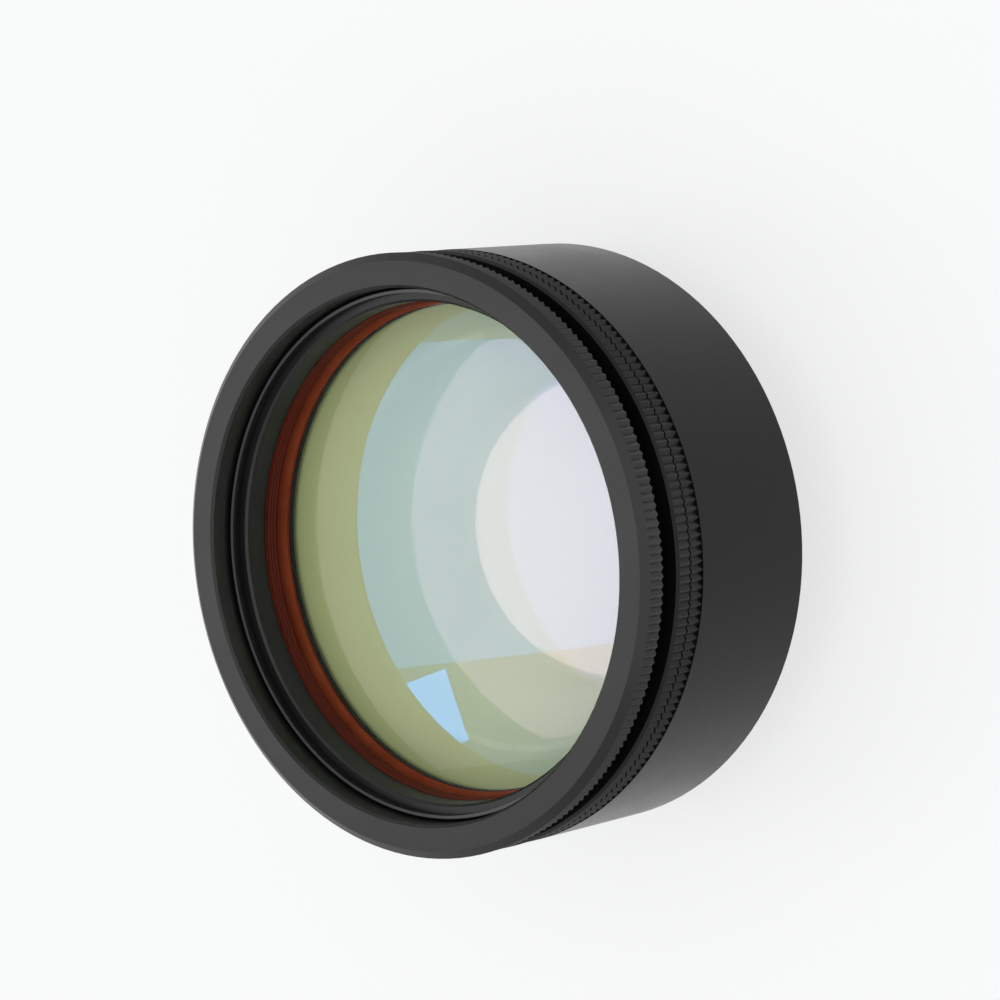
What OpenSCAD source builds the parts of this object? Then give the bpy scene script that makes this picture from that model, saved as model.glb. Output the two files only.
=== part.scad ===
// F-theta scan lens: a knurled protective-window cell screwed into a turned
// barrel that holds three fused-silica elements and a rear mounting thread.
// +Z runs along the optical axis towards the window. z = 0 is the rear end.
// The barrel's radius sets the window cell, the front and the middle element;
// the mounting thread's radius sets the nose and the rear element.

/* [Barrel] */
// Outer radius of the barrel and of the cell's head
body_r = 57; // [54:0.5:66]
// Length of the barrel from the mounting shoulder to its front face
body_len = 39.2; // [36:0.2:60]
// Chamfer on the barrel's rear outer edge
body_chamfer = 0.8; // [0.2:0.1:2]
// Wall of the barrel round the thread that takes the cell
barrel_wall = 4; // [2:0.5:6]
// Width of the step in the bore that the cell's end seats on
cell_step = 2; // [1.5:0.1:4]
// Length of the web between the rear and the middle element
web_len = 8.8; // [6:0.2:13]

/* [Mounting thread] */
// Nominal radius of the external mounting thread
mount_r = 42.5; // [40:0.5:47]
// Length of the threaded stretch
mount_len = 8; // [4:0.5:9]
// Length of the relief groove between thread and shoulder
relief_len = 2; // [1:0.5:3]
// Depth of the relief groove
relief_depth = 0.9; // [0.3:0.1:1.2]
// Depth of the recess that carries the relief groove on into the shoulder
face_undercut = 0.4; // [0.2:0.1:0.8]
// How far the plain nose lies below the thread
nose_drop = 2; // [1:0.1:3]
// Length of the plain nose
nose_len = 7; // [3:0.5:7.5]
// Wall of the nose round the thread of the rear ring
nose_wall = 9.7; // [6:0.1:12]
// Lead-in chamfer on the thread and on the nose
lead_chamfer = 0.8; // [0.3:0.1:1]

/* [Knurls] */
// Number of teeth round each knurled strip
knurl_teeth = 224; // [120:4:240]
// Depth of the knurl
knurl_depth = 0.5; // [0.2:0.05:0.8]
// Width of the knurled strip on the cell's head
head_knurl_w = 3.8; // [2:0.1:6]
// Width of each of the two knurled strips on the barrel
body_knurl_w = 3.3; // [2:0.1:6]
// Width of the plain groove between the barrel's two strips
knurl_split_w = 0.4; // [0.2:0.1:1]
// Width of the bevelled lip in front of the barrel's knurl
knurl_lip_w = 0.5; // [0.3:0.1:1]
// How far the tips of the teeth lie below the turned surface beside them
knurl_sink = 0.06; // [0.04:0.01:0.2]

/* [Window cell] */
// Gap between the head and the barrel's front face
head_gap = 4.3; // [1:0.1:8]
// Width of the bevel round the front face, along the radius
head_bevel_r = 1.5; // [0.5:0.1:2.5]
// Height of the bevel round the front face, along the axis
head_bevel_h = 1.2; // [0.4:0.1:2.5]
// Wall of the cell between its bore and its outer thread
cell_wall = 2.5; // [2:0.1:4]
// Chamfer at the mouth of the cell's bore
cell_mouth_chamfer = 0.5; // [0.2:0.1:1]
// How far the lip under the window reaches into the bore
cell_lip_w = 3.8; // [2:0.1:5]
// Thickness of the lip under the window
cell_lip_t = 1; // [0.6:0.1:3]
// Cord diameter of the ring that seals the cell in the barrel
cell_cord_d = 1.5; // [1:0.1:1.7]

/* [Window] */
// Thickness of the protective window
window_t = 4; // [2:0.5:6]
// Thickness of the gasket under the window
gasket_t = 0.6; // [0.2:0.1:1]
// Inset of the gasket from the lip's edge
gasket_inset = 0.2; // [0.1:0.1:1]
// Height of the silicone seal on the window
seal_h = 3.3; // [2:0.1:5]
// Width of the silicone seal
seal_w = 2.95; // [1:0.05:4]
// Depth of the fine ribs inside the silicone seal
seal_rib = 0.25; // [0.1:0.05:0.5]
// Width of the ring that clamps the window
clamp_w = 2.8; // [1.5:0.1:4]
// Height of the ring that clamps the window
clamp_h = 7.3; // [3:0.1:9]
// Width of the rim that stands round the clamp ring
clamp_rim_w = 1; // [0.8:0.1:2]
// Height of that rim over the ring's inner flat
clamp_step_h = 2; // [0.5:0.1:2.4]
// Chamfer on the edges of the clamp ring
clamp_chamfer = 0.45; // [0.2:0.05:0.7]

/* [Front element] */
// Centre thickness of the front element
front_t = 14; // [12:0.5:17]
// Radius of curvature of its front surface
front_curve = 700; // [400:10:1000]
// Radius of curvature of its rear surface, which bulges to the rear
front_rear_curve = 200; // [180:10:400]
// Width of the ledge that it sits on
front_seat_w = 4; // [2:0.5:6]
// How far its retaining ring covers the glass
front_cover_w = 1.6; // [1:0.1:4]
// Height of its retaining ring
front_ring_h = 1.2; // [1:0.1:2.5]

/* [Middle element] */
// Step from the front element's ledge in to the thread of the middle ring
middle_step = 5.9; // [3:0.1:9]
// Centre thickness of the middle element
middle_t = 9; // [8:0.5:12]
// Radius of curvature of its front surface
middle_curve = 230; // [150:10:400]
// Radius of curvature of its rear surface, which is hollow
middle_rear_curve = 250; // [180:10:400]
// Width of its flat rear seat
middle_seat_w = 4; // [2:0.5:6]
// How far its retaining ring covers the glass
middle_cover_w = 1.2; // [1:0.1:4]
// Height of its retaining ring
middle_ring_h = 4; // [2:0.1:5]

/* [Rear element] */
// Centre thickness of the rear element
rear_t = 5; // [3:0.5:7]
// Radius of curvature of its front surface
rear_front_curve = 550; // [300:10:800]
// Radius of curvature of its rear surface, which is hollow
rear_curve = 300; // [150:10:500]
// Width of its flat rear seat
rear_seat_w = 2.5; // [1.5:0.1:4]
// How far the web covers the glass from the front
web_cover_w = 1.7; // [1:0.1:4]
// How far its retaining ring covers the glass from the rear
rear_cover_w = 4.5; // [2:0.5:6]
// Height of its retaining ring
rear_ring_h = 3; // [1.5:0.1:4]
// How far the ring lies inside the rear end
rear_inset = 0.9; // [0.2:0.1:1.5]

/* [Fits] */
// Radial clearance round a glass element
glass_clear = 0.15; // [0.05:0.05:0.3]
// Radial clearance round the protective window
window_clear = 0.5; // [0.2:0.1:1]
// Radial clearance of a screwed joint
thread_clear = 0.08; // [0.03:0.01:0.15]
// Air gap left over between stacked pieces
stack_gap = 0.3; // [0.1:0.1:1]
// Air gap between the middle and the front element on the axis
air_gap = 1; // [0.5:0.1:2]
// Chamfer on the edges of the glass
glass_bevel = 0.3; // [0.1:0.1:0.5]
// What each ledge adds to the radius of the piece that passes over it
ledge_step = 0.8; // [0.5:0.1:1.5]
// Width of a spanner slot in a retaining ring
slot_w = 3; // [2:0.5:4]
// Depth of a spanner slot in a retaining ring
slot_depth = 0.6; // [0.3:0.1:0.9]

/* [Hidden] */
$fn = 128;
eps = 0.01;
arc_steps = 16;
seal_ribs = 3;

// Depth of a spherical surface of radius rc at the distance r from the axis
function sag(rc, r) = rc - sqrt(rc * rc - r * r);
// Points of such a surface from the axis out to r, its edge at the height z;
// side is 1 where its middle lies above the edge and -1 where it lies below
function dome(rc, r, z, side = 1) =
    [for (i = [0:arc_steps]) let (q = r * i / arc_steps) [q, z + side * (sag(rc, r) - sag(rc, q))]];
function reversed(v) = [for (i = [len(v) - 1:-1:0]) v[i]];

// Radii in front, from the barrel's outside inwards
head_r = body_r;
cell_thread_r = body_r - barrel_wall;
cell_bore_r = cell_thread_r - cell_wall;
cell_lip_r = cell_bore_r - cell_lip_w;
window_r = cell_bore_r - window_clear;
seal_r = cell_bore_r - glass_clear - seal_w;
clamp_r = cell_bore_r - thread_clear - clamp_w;
front_thread_r = cell_thread_r - cell_step;
front_r = front_thread_r - ledge_step;
front_bore_r = front_r + glass_clear;
front_ledge_r = front_r - front_seat_w;
front_ring_r = front_r - front_cover_w;
middle_thread_r = front_ledge_r - middle_step;
middle_r = middle_thread_r - ledge_step;
middle_bore_r = middle_r + glass_clear;
middle_clear = middle_r - middle_seat_w;
middle_ring_r = middle_r - middle_cover_w;

// Radii at the rear, from the mounting thread inwards
nose_r = mount_r - nose_drop;
rear_thread_r = nose_r - nose_wall;
rear_r = rear_thread_r - ledge_step;
rear_bore_r = rear_r + glass_clear;
rear_clear = rear_r - rear_seat_w;
rear_ring_r = rear_r - rear_cover_w;
web_r = rear_r - web_cover_w;

// Heights, from the rear end upwards
thread_z = nose_len;
relief_z = thread_z + mount_len;
shoulder_z = relief_z + relief_len;
body_top = shoulder_z + body_len;

rear_rim_z = rear_inset + rear_ring_h;
rear_rim_top = rear_rim_z + sag(rear_curve, rear_clear) + rear_t - sag(rear_front_curve, web_r);

middle_ledge_z = rear_rim_top + web_len;
middle_vertex = middle_ledge_z + sag(middle_rear_curve, middle_clear) + middle_t;
middle_rim_top = middle_vertex - sag(middle_curve, middle_ring_r);
middle_ring_top = middle_rim_top + middle_ring_h;

front_rear_vertex = middle_vertex + air_gap;
front_ledge_z = front_rear_vertex + sag(front_rear_curve, front_ledge_r);
front_vertex = front_rear_vertex + front_t;
front_rim_top = front_vertex - sag(front_curve, front_ring_r);
front_ring_top = front_rim_top + front_ring_h;

cell_seat_z = front_ring_top + stack_gap;
window_z = cell_seat_z + cell_lip_t + gasket_t;
window_top = window_z + window_t;
seal_top = window_top + seal_h;
head_z = body_top + head_gap;
face_z = head_z + head_knurl_w + head_bevel_h;

// The ring that seals the cell sits in a groove round its neck
neck_r = cell_thread_r - thread_clear;
cord_z = body_top - 1.5 * cell_cord_d;
cord_mid_r = cell_thread_r - cell_cord_d / 2 - 0.03;

// A disc with straight V teeth round its edge, for a turned surface of radius r
module knurled_disc(r, w) {
    linear_extrude(w)
        polygon([for (i = [0:2 * knurl_teeth - 1])
            let (a = i * 180 / knurl_teeth, q = r - knurl_sink - (i % 2) * knurl_depth)
            [q * cos(a), q * sin(a)]]);
}

// A plain turned ring with chamfers on its top edges
module turned_ring(inner, outer, z, h, chamfer) {
    rotate_extrude()
        polygon([
            [inner, z],
            [outer, z],
            [outer, z + h - chamfer],
            [outer - chamfer, z + h],
            [inner + chamfer, z + h],
            [inner, z + h - chamfer]
        ]);
}

// A retaining ring with two slots for a pin spanner
module slotted_ring(inner, outer, z, h) {
    difference() {
        turned_ring(inner, outer, z, h, clamp_chamfer / 2);
        translate([-outer - 1, -slot_w / 2, z + h - slot_depth])
            cube([2 * outer + 2, slot_w, slot_depth + 1]);
    }
}

// A glass element with a ground rim and flat seats, bulging towards the front;
// rear_side is 1 where its rear surface is hollow and -1 where that bulges too
module element(rim_r, z, top, rear_rc, rear_edge, rear_side, front_rc, front_edge) {
    rotate_extrude()
        polygon(concat(
            dome(rear_rc, rear_edge, z, rear_side),
            [
                [rim_r - glass_bevel, z],
                [rim_r, z + glass_bevel],
                [rim_r, top - glass_bevel],
                [rim_r - glass_bevel, top]
            ],
            reversed(dome(front_rc, front_edge, top))
        ));
}

module barrel_outside() {
    strip_1 = body_top - knurl_lip_w - body_knurl_w;
    strip_2 = strip_1 - knurl_split_w - body_knurl_w;
    groove_r = body_r - 2 * knurl_sink - knurl_depth;
    rotate_extrude()
        polygon([
            [0, 0],
            [nose_r - lead_chamfer, 0],
            [nose_r, lead_chamfer],
            [nose_r, thread_z],
            [mount_r - lead_chamfer, thread_z],
            [mount_r, thread_z + lead_chamfer],
            [mount_r, relief_z],
            [mount_r - relief_depth, relief_z + relief_depth / 2],
            [mount_r - relief_depth, shoulder_z + face_undercut],
            [mount_r + face_undercut, shoulder_z],
            [body_r - body_chamfer, shoulder_z],
            [body_r, shoulder_z + body_chamfer],
            [body_r, strip_2],
            [groove_r, strip_2],
            [groove_r, body_top - knurl_lip_w],
            [body_r, body_top - knurl_lip_w],
            [body_r - knurl_lip_w, body_top],
            [0, body_top]
        ]);
    translate([0, 0, strip_1])
        knurled_disc(body_r, body_knurl_w);
    translate([0, 0, strip_2])
        knurled_disc(body_r, body_knurl_w);
}

// The stepped bore, from the rear end up to the cell's thread
module barrel_bore() {
    rotate_extrude()
        polygon([
            [0, -1],
            [rear_thread_r + lead_chamfer / 2 + 1, -1],
            [rear_thread_r + lead_chamfer / 2, 0],
            [rear_thread_r, lead_chamfer / 2],
            [rear_thread_r, rear_rim_z],
            [rear_bore_r, rear_rim_z],
            [rear_bore_r, rear_rim_top],
            [web_r, rear_rim_top],
            [web_r, middle_ledge_z],
            [middle_bore_r, middle_ledge_z],
            [middle_bore_r, middle_rim_top],
            [middle_thread_r, middle_rim_top],
            [middle_thread_r, middle_ring_top],
            [front_ledge_r, front_ledge_z - 1],
            [front_ledge_r, front_ledge_z],
            [front_bore_r, front_ledge_z],
            [front_bore_r, front_rim_top],
            [front_thread_r, front_rim_top],
            [front_thread_r, cell_seat_z],
            [cell_thread_r, cell_seat_z],
            [cell_thread_r, body_top - cell_mouth_chamfer],
            [cell_thread_r + cell_mouth_chamfer, body_top],
            [cell_thread_r + cell_mouth_chamfer + 1, body_top + 1],
            [0, body_top + 1]
        ]);
}

module barrel() {
    color([0.1, 0.1, 0.11])
        difference() {
            barrel_outside();
            barrel_bore();
        }
}

module window_cell() {
    groove_r = cord_mid_r - cell_cord_d / 2 - 0.02;
    groove_w = cell_cord_d * 0.6;
    color([0.12, 0.12, 0.13])
        difference() {
            union() {
                rotate_extrude()
                    polygon([
                        [0, cell_seat_z],
                        [neck_r - glass_bevel, cell_seat_z],
                        [neck_r, cell_seat_z + glass_bevel],
                        [neck_r, cord_z - groove_w],
                        [groove_r, cord_z - groove_w],
                        [groove_r, cord_z + groove_w],
                        [neck_r, cord_z + groove_w],
                        [neck_r, head_z + eps],
                        [0, head_z + eps]
                    ]);
                translate([0, 0, head_z])
                    knurled_disc(head_r, head_knurl_w);
                rotate_extrude()
                    polygon([
                        [0, head_z + head_knurl_w],
                        [head_r, head_z + head_knurl_w],
                        [head_r - head_bevel_r, face_z],
                        [0, face_z]
                    ]);
            }
            rotate_extrude()
                polygon([
                    [0, cell_seat_z - 1],
                    [cell_lip_r, cell_seat_z - 1],
                    [cell_lip_r, window_z - gasket_t],
                    [cell_bore_r, window_z - gasket_t],
                    [cell_bore_r, face_z - cell_mouth_chamfer],
                    [cell_bore_r + cell_mouth_chamfer, face_z],
                    [cell_bore_r + cell_mouth_chamfer + 1, face_z + 1],
                    [0, face_z + 1]
                ]);
        }
}

module cell_o_ring() {
    color([0.05, 0.05, 0.05])
        rotate_extrude()
            translate([cord_mid_r, cord_z])
                circle(d = cell_cord_d, $fn = 32);
}

module window_gasket() {
    color([0.55, 0.16, 0.07])
        rotate_extrude()
            translate([cell_lip_r + gasket_inset, window_z - gasket_t])
                square([window_r - glass_bevel - cell_lip_r - gasket_inset, gasket_t]);
}

module protective_window() {
    color([0.75, 0.85, 0.8, 0.4])
        rotate_extrude()
            polygon([
                [0, window_z],
                [window_r - glass_bevel, window_z],
                [window_r, window_z + glass_bevel],
                [window_r, window_top - glass_bevel],
                [window_r - glass_bevel, window_top],
                [0, window_top]
            ]);
}

// A silicone ring with fine ribs on its inner wall
module window_seal() {
    rib_h = seal_h / (seal_ribs + 1);
    color([0.55, 0.16, 0.07])
        rotate_extrude()
            polygon(concat(
                [
                    [seal_r, window_top],
                    [cell_bore_r - glass_clear, window_top],
                    [cell_bore_r - glass_clear, seal_top],
                    [seal_r, seal_top]
                ],
                [for (i = [seal_ribs:-1:1], side = [1, 0, -1])
                    [seal_r + (side == 0 ? seal_rib : 0), window_top + i * rib_h + side * seal_rib]]
            ));
}

module window_clamp_ring() {
    outer = cell_bore_r - thread_clear;
    rim_top = seal_top + clamp_h;
    flat_z = rim_top - clamp_step_h;
    color([0.1, 0.1, 0.11])
        rotate_extrude()
            polygon([
                [clamp_r, seal_top],
                [outer, seal_top],
                [outer, rim_top - clamp_chamfer],
                [outer - clamp_chamfer, rim_top],
                [outer - clamp_rim_w, rim_top],
                [outer - clamp_rim_w, flat_z],
                [clamp_r + clamp_chamfer, flat_z],
                [clamp_r, flat_z - clamp_chamfer]
            ]);
}

module front_lens() {
    color([0.7, 0.78, 0.6, 0.4])
        element(front_r, front_ledge_z, front_rim_top, front_rear_curve, front_ledge_r, -1,
            front_curve, front_ring_r);
}

module front_lens_ring() {
    color([0.1, 0.1, 0.11])
        slotted_ring(front_ring_r, front_thread_r - thread_clear, front_rim_top, front_ring_h);
}

module middle_lens() {
    color([0.65, 0.75, 0.72, 0.4])
        element(middle_r, middle_ledge_z, middle_rim_top, middle_rear_curve, middle_clear, 1,
            middle_curve, middle_ring_r);
}

module middle_lens_ring() {
    color([0.1, 0.1, 0.11])
        slotted_ring(middle_ring_r, middle_thread_r - thread_clear, middle_rim_top, middle_ring_h);
}

module rear_lens() {
    color([0.78, 0.79, 0.82, 0.4])
        element(rear_r, rear_rim_z, rear_rim_top, rear_curve, rear_clear, 1, rear_front_curve, web_r);
}

// Screwed in from the rear, so its slots face the rear
module rear_lens_ring() {
    color([0.1, 0.1, 0.11])
        rotate([180, 0, 0])
            slotted_ring(rear_ring_r, rear_thread_r - thread_clear, -rear_rim_z, rear_ring_h);
}

barrel();
window_cell();
cell_o_ring();
window_gasket();
protective_window();
window_seal();
window_clamp_ring();
front_lens();
front_lens_ring();
middle_lens();
middle_lens_ring();
rear_lens();
rear_lens_ring();
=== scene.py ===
"""F-theta scan lens: finishes of the CAD nodes, thread ridges, light and camera."""

import math

import bmesh
import bpy
from mathutils import Matrix, Vector


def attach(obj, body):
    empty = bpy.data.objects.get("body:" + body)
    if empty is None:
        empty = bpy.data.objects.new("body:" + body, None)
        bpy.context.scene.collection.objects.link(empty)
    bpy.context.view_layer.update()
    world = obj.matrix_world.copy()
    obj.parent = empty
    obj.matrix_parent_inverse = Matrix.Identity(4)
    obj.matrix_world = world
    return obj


MM = 0.001

# The mounting thread in millimetres, and the steps of its ridge in one turn
THREAD_R = 42.5
THREAD_FROM = 8.0
THREAD_TO = 14.8
THREAD_PITCH = 1.0
THREAD_CREST = 0.22
THREAD_STEPS = 96

# What the finishes follow on the solids, in millimetres: the height just under the clamp ring's top edge,
# above which a painted highlight lies, and the curves of the elements' front surfaces
CLAMP_RIM_Z = 60.72
FRONT_CURVE = 700.0
MIDDLE_CURVE = 230.0
REAR_CURVE = 550.0

# The camera, as the photograph has it, in the camera's own axes: the place of the
# front face's centre, in metres, and the ways the optical axis and the rings' slots run
FACE_CENTRE = Vector((0.0, 0.0, 0.0655))
FACE_IN_VIEW = Vector((-0.01781, -0.01083, -0.65430))
AXIS_IN_VIEW = Vector((-0.64232, -0.09141, 0.76097))
SLOTS_IN_VIEW = Vector((-0.05896, 0.99582, 0.06985))
LENS_MM = 126.0
SENSOR_MM = 36.0

GLASS_IOR = 1.45

# The scales of the noises in the black: turned rings, pores and broad clouds
TURNED_LINES = 9000.0
PORE_GRAIN = 22000.0
CLOUD_GRAIN = 60.0

# A painted highlight: the grey that the black turns to above a given height, and how far to each side
# of that height it fades in, in millimetres
RIM_HIGHLIGHT_GREY = (0.075, 0.075, 0.078)
RIM_HIGHLIGHT_FADE = 0.02

# The stage, in metres, and how much of the floor's look is its own white
LAMP_AIM = Vector((0.0, 0.0, 0.045))
FLOOR_HALF = 12.0
FLOOR_WHITE = 0.7
WORLD_LEVEL = 0.5

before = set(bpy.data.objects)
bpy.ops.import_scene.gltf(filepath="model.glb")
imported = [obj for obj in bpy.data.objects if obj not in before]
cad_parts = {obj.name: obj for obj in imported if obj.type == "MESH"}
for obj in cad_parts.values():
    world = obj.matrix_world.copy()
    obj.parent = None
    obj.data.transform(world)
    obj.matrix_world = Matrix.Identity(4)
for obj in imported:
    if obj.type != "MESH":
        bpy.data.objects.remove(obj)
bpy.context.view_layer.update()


# ---------------------------------------------------------------- node helpers
class Nodes:
    """A material's node tree, with short calls for the nodes used here."""

    def __init__(self, name):
        self.material = bpy.data.materials.new(name)
        self.material.use_nodes = True
        self.tree = self.material.node_tree
        self.tree.nodes.clear()
        self.out = self.tree.nodes.new("ShaderNodeOutputMaterial")

    def add(self, kind, **settings):
        node = self.tree.nodes.new(kind)
        for key, value in settings.items():
            setattr(node, key, value)
        return node

    def link(self, source, target):
        self.tree.links.new(source, target)

    def math(self, operation, a, b=None, clamp=False):
        node = self.add("ShaderNodeMath", operation=operation, use_clamp=clamp)
        for socket, value in zip(node.inputs, (a, b)):
            if value is None:
                continue
            if isinstance(value, (int, float)):
                socket.default_value = value
            else:
                self.link(value, socket)
        return node.outputs[0]

    def noise(self, vector, scale, detail=2.0, roughness=0.5):
        node = self.add("ShaderNodeTexNoise")
        node.inputs["Scale"].default_value = scale
        node.inputs["Detail"].default_value = detail
        node.inputs["Roughness"].default_value = roughness
        self.link(vector, node.inputs["Vector"])
        return node.outputs["Fac"]

    def ramp(self, factor, *stops):
        node = self.add("ShaderNodeValToRGB")
        elements = node.color_ramp.elements
        while len(elements) < len(stops):
            elements.new(0.5)
        for element, (place, colour) in zip(elements, stops):
            element.position = place
            element.color = (*colour, 1.0)
        self.link(factor, node.inputs["Fac"])
        return node.outputs["Color"]

    def span(self, value, low, high, to_low=0.0, to_high=1.0):
        node = self.add("ShaderNodeMapRange")
        node.inputs["From Min"].default_value = low
        node.inputs["From Max"].default_value = high
        node.inputs["To Min"].default_value = to_low
        node.inputs["To Max"].default_value = to_high
        self.link(value, node.inputs["Value"])
        return node.outputs["Result"]

    def place(self):
        """Position in metres, its distance from the axis and its height."""
        spot = self.add("ShaderNodeTexCoord").outputs["Object"]
        parts = self.add("ShaderNodeSeparateXYZ")
        self.link(spot, parts.inputs[0])
        square = self.math("MULTIPLY", parts.outputs["X"], parts.outputs["X"])
        other = self.math("MULTIPLY", parts.outputs["Y"], parts.outputs["Y"])
        radius = self.math("SQRT", self.math("ADD", square, other))
        return spot, radius, parts.outputs["Z"]

    def bump(self, height, strength, distance, under=None):
        node = self.add("ShaderNodeBump")
        node.inputs["Strength"].default_value = strength
        node.inputs["Distance"].default_value = distance
        self.link(height, node.inputs["Height"])
        if under is not None:
            self.link(under, node.inputs["Normal"])
        return node.outputs["Normal"]

    def finish(self, shader):
        self.link(shader, self.out.inputs["Surface"])
        return self.material


def lathe_lines(n, radius, height, per_metre):
    """Fine rings round the axis, as a turning tool leaves them."""
    lines = n.add("ShaderNodeCombineXYZ")
    n.link(radius, lines.inputs["X"])
    n.link(height, lines.inputs["Y"])
    return n.noise(lines.outputs[0], per_metre, detail=3.0, roughness=0.65)


# ------------------------------------------------------------------- materials
def anodised(name, grey, roughness, gloss, highlight_above=None):
    """Black anodised aluminium over turned metal, with fine pores.

    highlight_above is a height in millimetres over which the black turns grey, a painted highlight.
    """
    n = Nodes(name)
    spot, radius, height = n.place()
    lines = lathe_lines(n, radius, height, TURNED_LINES)
    pores = n.noise(spot, PORE_GRAIN, detail=2.0)
    cloud = n.noise(spot, CLOUD_GRAIN, detail=3.0)
    shader = n.add("ShaderNodeBsdfPrincipled")
    shader.inputs["Specular IOR Level"].default_value = gloss
    dark = tuple(grey * k for k in (0.82, 0.82, 0.86))
    light = tuple(grey * k for k in (1.12, 1.12, 1.16))
    colour = n.ramp(cloud, (0.35, dark), (0.65, light))
    # Above the given height the colour turns grey: a painted highlight along the edge
    if highlight_above:
        painted_highlight = n.add("ShaderNodeMix", data_type="RGBA")
        low, high = (highlight_above - RIM_HIGHLIGHT_FADE) * MM, (highlight_above + RIM_HIGHLIGHT_FADE) * MM
        n.link(n.span(height, low, high), painted_highlight.inputs[0])
        n.link(colour, painted_highlight.inputs[6])
        painted_highlight.inputs[7].default_value = (*RIM_HIGHLIGHT_GREY, 1.0)
        colour = painted_highlight.outputs[2]
    n.link(colour, shader.inputs["Base Color"])
    turned = n.span(lines, 0.3, 0.7, -0.04, 0.04)
    rough = n.math("ADD", turned, n.span(cloud, 0.3, 0.7, -0.03, 0.03))
    n.link(n.math("ADD", rough, roughness), shader.inputs["Roughness"])
    grain = n.bump(pores, 0.25, 0.00002)
    n.link(n.bump(lines, 0.35, 0.00003, grain), shader.inputs["Normal"])
    return n.finish(shader.outputs[0])


def silicone(name, dark, light):
    """Brick-red silicone with a faint sheen."""
    n = Nodes(name)
    spot, _, _ = n.place()
    cloud = n.noise(spot, 180.0, detail=4.0)
    shader = n.add("ShaderNodeBsdfPrincipled")
    colour = n.ramp(cloud, (0.3, dark), (0.7, light))
    shader.inputs["Specular IOR Level"].default_value = 0.12
    n.link(colour, shader.inputs["Base Color"])
    n.link(n.span(cloud, 0.3, 0.7, 0.42, 0.55), shader.inputs["Roughness"])
    n.link(n.bump(n.noise(spot, 6000.0), 0.2, 0.00003), shader.inputs["Normal"])
    return n.finish(shader.outputs[0])


def rubber(name):
    """Black elastomer, as of an O-ring."""
    n = Nodes(name)
    spot, _, _ = n.place()
    grain = n.noise(spot, 3000.0, detail=3.0)
    shader = n.add("ShaderNodeBsdfPrincipled")
    colour = n.ramp(grain, (0.3, (0.012, 0.012, 0.012)), (0.7, (0.022, 0.022, 0.023)))
    n.link(colour, shader.inputs["Base Color"])
    shader.inputs["Roughness"].default_value = 0.5
    n.link(n.bump(grain, 0.2, 0.00003), shader.inputs["Normal"])
    return n.finish(shader.outputs[0])


def sphere_normal(n, spot, radius, curve):
    """The normal of a sphere centred on the axis, that bulges to the front."""
    across = n.add("ShaderNodeSeparateXYZ")
    n.link(spot, across.inputs[0])
    rise = n.math("SQRT", n.math("SUBTRACT", curve * curve, n.math("MULTIPLY", radius, radius)))
    out = n.add("ShaderNodeCombineXYZ")
    n.link(across.outputs["X"], out.inputs["X"])
    n.link(across.outputs["Y"], out.inputs["Y"])
    n.link(rise, out.inputs["Z"])
    unit = n.add("ShaderNodeVectorMath", operation="NORMALIZE")
    n.link(out.outputs[0], unit.inputs[0])
    return unit.outputs[0]


def coated_glass(name, through, mirror, painted_reflection=None, curve=None):
    """Polished glass. Its front surface is coated and mirrors some light in a tint.

    painted_reflection is the colour of a diffuse layer on the front surface, a painted reflection:
    it stands in for the light that coatings inside the lens throw back,
    and is added to what passes through.
    curve is the front surface's radius of curvature in millimetres, so that its mirror
    is a true sphere and not the steps that the solid is turned from.
    Lamplight and diffuse light pass straight through the glass.
    """
    n = Nodes(name)
    spot, radius, _ = n.place()
    glass = n.add("ShaderNodeBsdfRefraction")
    glass.inputs["IOR"].default_value = GLASS_IOR
    glass.inputs["Roughness"].default_value = 0.0
    glass.inputs["Color"].default_value = (*through, 1.0)
    facing = n.add("ShaderNodeSeparateXYZ")
    n.link(n.add("ShaderNodeTexCoord").outputs["Normal"], facing.inputs[0])
    inside = n.add("ShaderNodeNewGeometry").outputs["Backfacing"]
    # 1 on the surface that faces the front, where a ray meets it from outside
    front = n.math("GREATER_THAN", n.math("SUBTRACT", facing.outputs["Z"], inside), 0.5)
    thick = n.noise(spot, 30.0, detail=1.0)
    shader = glass.outputs[0]
    layers = [("ShaderNodeBsdfGlossy", mirror)]
    # The diffuse layer is a painted reflection of light thrown back inside the lens
    if painted_reflection:
        layers.append(("ShaderNodeBsdfDiffuse", painted_reflection))
    for kind, tint in layers:
        layer = n.add(kind)
        layer.inputs["Roughness"].default_value = 0.0
        low = tuple(c * 0.97 for c in tint)
        shown = n.add("ShaderNodeMix", data_type="RGBA")
        n.link(front, shown.inputs[0])
        shown.inputs[6].default_value = (0.0, 0.0, 0.0, 1.0)
        n.link(n.ramp(thick, (0.4, low), (0.6, tint)), shown.inputs[7])
        n.link(shown.outputs[2], layer.inputs["Color"])
        if curve and kind == "ShaderNodeBsdfGlossy":
            n.link(sphere_normal(n, spot, radius, curve * MM), layer.inputs["Normal"])
        both = n.add("ShaderNodeAddShader")
        n.link(shader, both.inputs[0])
        n.link(layer.outputs[0], both.inputs[1])
        shader = both.outputs[0]
    path = n.add("ShaderNodeLightPath")
    lamp = n.math("MAXIMUM", path.outputs["Is Shadow Ray"], path.outputs["Is Diffuse Ray"])
    clear = n.add("ShaderNodeBsdfTransparent")
    clear.inputs["Color"].default_value = (0.97, 0.97, 0.97, 1.0)
    let_through = n.add("ShaderNodeMixShader")
    n.link(lamp, let_through.inputs[0])
    n.link(shader, let_through.inputs[1])
    n.link(clear.outputs[0], let_through.inputs[2])
    return n.finish(let_through.outputs[0])


def dress(node, material):
    """Gives a CAD node its material in every slot."""
    mesh = bpy.data.objects[node].data
    for i in range(len(mesh.materials)):
        mesh.materials[i] = material


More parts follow.
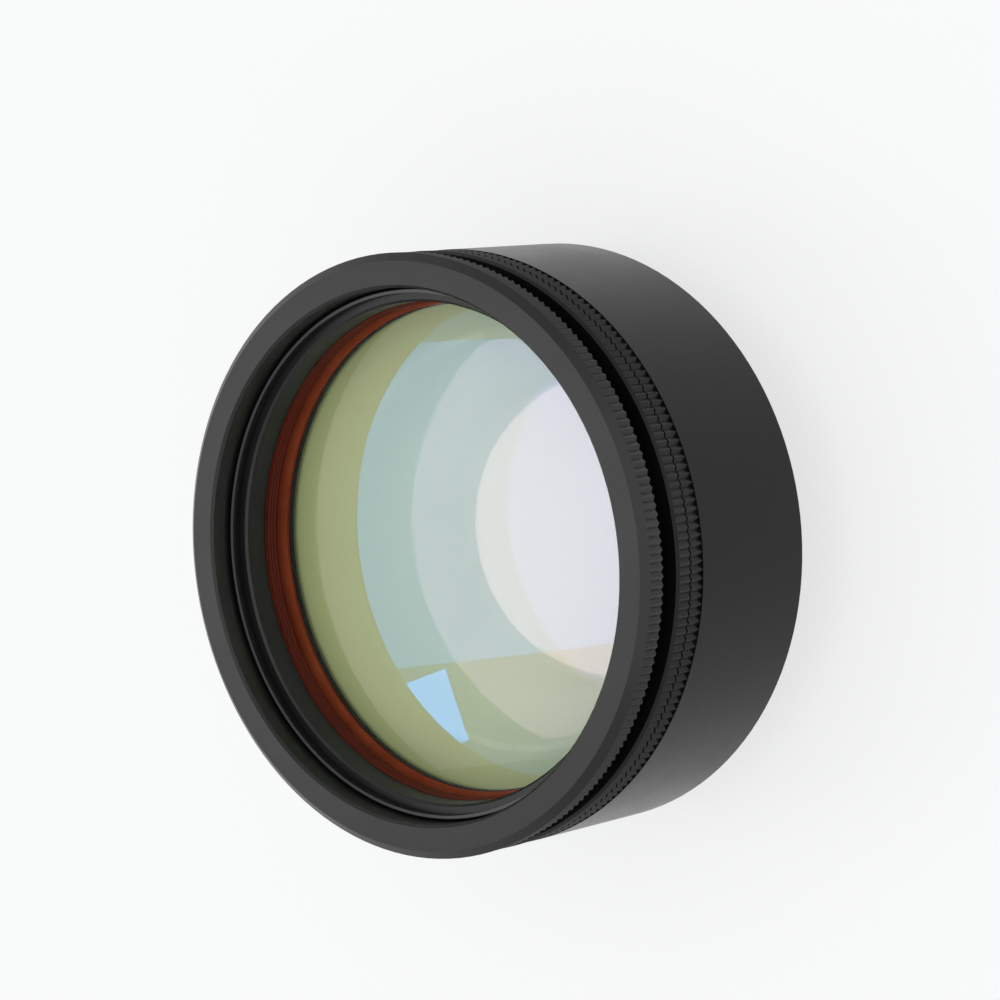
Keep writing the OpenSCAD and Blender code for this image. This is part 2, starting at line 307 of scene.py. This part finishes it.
BODY_BLACK = anodised("body_black", grey=0.004, roughness=0.3, gloss=0.2)
CELL_BLACK = anodised("cell_black", grey=0.004, roughness=0.32, gloss=0.33)
RING_BLACK = anodised("ring_black", grey=0.004, roughness=0.35, gloss=0.33)
# The clamp ring's rim carries a painted highlight
CLAMP_BLACK = anodised(
    "clamp_black", grey=0.004, roughness=0.35, gloss=0.33, highlight_above=CLAMP_RIM_Z)
SEAL_RED = silicone("seal_red", dark=(0.10, 0.012, 0.004), light=(0.14, 0.019, 0.006))
# The gasket is the seal's brick-red silicone; its lighter red over the seal's is painted light
GASKET_RED_PAINTED_LIGHT = silicone("gasket_red_painted_light", dark=(0.27, 0.050, 0.016), light=(0.34, 0.070, 0.024))
CORD = rubber("cord_rubber")

dress("barrel", BODY_BLACK)
dress("window_cell", CELL_BLACK)
dress("window_clamp_ring", CLAMP_BLACK)
dress("front_lens_ring", RING_BLACK)
dress("middle_lens_ring", RING_BLACK)
dress("rear_lens_ring", RING_BLACK)
dress("cell_o_ring", CORD)
dress("window_gasket", GASKET_RED_PAINTED_LIGHT)
dress("window_seal", SEAL_RED)
dress("protective_window", coated_glass(
    "window_glass", through=(0.99, 0.99, 0.99), mirror=(0.015, 0.013, 0.015)))
# The front element's yellow-green diffuse layer is a painted reflection
dress("front_lens", coated_glass(
    "front_glass", through=(0.97, 0.97, 0.97), mirror=(0.005, 0.034, 0.092),
    painted_reflection=(0.455, 0.51, 0.235), curve=FRONT_CURVE))
dress("middle_lens", coated_glass(
    "middle_glass", through=(0.9, 0.9, 0.9), mirror=(0.040, 0.025, 0.037), curve=MIDDLE_CURVE))
dress("rear_lens", coated_glass(
    "rear_glass", through=(0.61, 0.51, 0.49), mirror=(0.018, 0.016, 0.055), curve=REAR_CURVE))


# ------------------------------------------------------------------ the thread
def thread_ridges():
    """The ridge of the mounting thread, one helix round the plain cylinder."""
    mesh = bpy.data.meshes.new("thread_ridges")
    turns = (THREAD_TO - THREAD_FROM) / THREAD_PITCH
    steps = round(turns * THREAD_STEPS)
    fade = THREAD_STEPS // 4
    # The ridge's section, along the axis in pitches and outwards in crests
    form = ((-0.42, -0.05), (-0.08, 1.0), (0.08, 1.0), (0.42, -0.05))
    bm = bmesh.new()
    rows = []
    for i in range(steps + 1):
        angle = 2.0 * math.pi * i / THREAD_STEPS
        grow = min(1.0, i / fade, (steps - i) / fade)
        row = []
        for along, out in form:
            r = THREAD_R + THREAD_CREST * (out * grow if out > 0 else out)
            z = THREAD_FROM + THREAD_PITCH * (i / THREAD_STEPS + along)
            row.append(bm.verts.new((r * math.cos(angle) * MM, r * math.sin(angle) * MM, z * MM)))
        rows.append(row)
    for a, b in zip(rows, rows[1:]):
        for k in range(len(form) - 1):
            bm.faces.new((a[k], b[k], b[k + 1], a[k + 1]))
    bm.normal_update()
    bm.to_mesh(mesh)
    bm.free()
    piece = bpy.data.objects.new("thread_ridges", mesh)
    bpy.context.scene.collection.objects.link(piece)
    mesh.materials.append(BODY_BLACK)
    for face in mesh.polygons:
        face.use_smooth = True
    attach(piece, "root")
    return piece


thread_ridges()


# ------------------------------------------------------------ camera and light
def view_axes():
    """The camera's rotation: the model's axes, as rows, in the camera's own."""
    up = AXIS_IN_VIEW.normalized()
    side = (SLOTS_IN_VIEW - up * SLOTS_IN_VIEW.dot(up)).normalized()
    return Matrix((side, up.cross(side), up))


VIEW = view_axes()
CAMERA_PLACE = FACE_CENTRE - VIEW @ FACE_IN_VIEW


def set_camera():
    data = bpy.data.cameras.new("camera")
    data.lens = LENS_MM
    data.sensor_width = SENSOR_MM
    data.sensor_fit = "HORIZONTAL"
    data.clip_start = 0.01
    data.clip_end = 20.0
    camera = bpy.data.objects.new("camera", data)
    camera.matrix_world = Matrix.Translation(CAMERA_PLACE) @ VIEW.to_4x4()
    bpy.context.scene.collection.objects.link(camera)
    bpy.context.scene.camera = camera


def softbox(name, azimuth, elevation, distance, size, brightness):
    """A soft lamp over the lens.

    Angles are in degrees and lengths in metres. A brightness of 1 looks as bright as white.
    """
    data = bpy.data.lights.new(name, "AREA")
    data.shape = "RECTANGLE"
    data.size, data.size_y = size
    data.energy = brightness * math.pi * size[0] * size[1]
    lamp = bpy.data.objects.new(name, data)
    az, el = math.radians(azimuth), math.radians(elevation)
    aim = Vector((math.cos(el) * math.cos(az), math.cos(el) * math.sin(az), math.sin(el)))
    turn = aim.to_track_quat("Z", "Y").to_matrix().to_4x4()
    lamp.matrix_world = Matrix.Translation(LAMP_AIM + aim * distance) @ turn
    bpy.context.scene.collection.objects.link(lamp)


def set_world():
    """White to the camera, to gloss and through glass; a plain level for the rest."""
    world = bpy.data.worlds.new("studio")
    bpy.context.scene.world = world
    world.use_nodes = True
    tree = world.node_tree
    tree.nodes.clear()
    out = tree.nodes.new("ShaderNodeOutputWorld")
    path = tree.nodes.new("ShaderNodeLightPath")
    seen = tree.nodes.new("ShaderNodeMath")
    seen.operation = "MAXIMUM"
    tree.links.new(path.outputs["Is Camera Ray"], seen.inputs[0])
    tree.links.new(path.outputs["Is Transmission Ray"], seen.inputs[1])
    also = tree.nodes.new("ShaderNodeMath")
    also.operation = "MAXIMUM"
    tree.links.new(seen.outputs[0], also.inputs[0])
    tree.links.new(path.outputs["Is Glossy Ray"], also.inputs[1])
    plain = tree.nodes.new("ShaderNodeBackground")
    plain.inputs["Color"].default_value = (0.9, 0.95, 1.0, 1.0)
    plain.inputs["Strength"].default_value = WORLD_LEVEL
    white = tree.nodes.new("ShaderNodeBackground")
    white.inputs["Color"].default_value = (1.0, 1.0, 1.0, 1.0)
    white.inputs["Strength"].default_value = 1.0
    mix = tree.nodes.new("ShaderNodeMixShader")
    tree.links.new(also.outputs[0], mix.inputs[0])
    tree.links.new(plain.outputs[0], mix.inputs[1])
    tree.links.new(white.outputs[0], mix.inputs[2])
    tree.links.new(mix.outputs[0], out.inputs["Surface"])


def set_floor():
    """A plain pale floor that keeps the shadow and reads white beside it."""
    mesh = bpy.data.meshes.new("floor")
    corners = [(x * FLOOR_HALF, y * FLOOR_HALF, 0.0) for x, y in ((-1, -1), (1, -1), (1, 1), (-1, 1))]
    mesh.from_pydata(corners, [], [(0, 1, 2, 3)])
    floor = bpy.data.objects.new("floor", mesh)
    bpy.context.scene.collection.objects.link(floor)
    n = Nodes("floor_white")
    spot = n.add("ShaderNodeTexCoord").outputs["Object"]
    paper = n.add("ShaderNodeBsdfPrincipled")
    colour = n.ramp(n.noise(spot, 400.0), (0.3, (0.93, 0.93, 0.93)), (0.7, (0.95, 0.95, 0.95)))
    n.link(colour, paper.inputs["Base Color"])
    paper.inputs["Roughness"].default_value = 0.9
    glow = n.add("ShaderNodeEmission")
    glow.inputs["Strength"].default_value = 1.0
    path = n.add("ShaderNodeLightPath")
    seen = n.math("MAXIMUM", path.outputs["Is Camera Ray"], path.outputs["Is Transmission Ray"])
    seen = n.math("MAXIMUM", seen, path.outputs["Is Glossy Ray"])
    mix = n.add("ShaderNodeMixShader")
    n.link(n.math("MULTIPLY", seen, FLOOR_WHITE), mix.inputs[0])
    n.link(paper.outputs[0], mix.inputs[1])
    n.link(glow.outputs[0], mix.inputs[2])
    mesh.materials.append(n.finish(mix.outputs[0]))


set_camera()
set_world()
set_floor()
softbox("window_light", azimuth=93.7, elevation=50.0, distance=1.2, size=(0.33, 0.7), brightness=2.0)
softbox("corner_light", azimuth=107.85, elevation=43.7, distance=1.2, size=(0.076, 0.078), brightness=6.0)
softbox("overhead", azimuth=270.0, elevation=78.0, distance=1.3, size=(1.9, 1.9), brightness=1.0)
bpy.context.scene.view_settings.view_transform = "Standard"
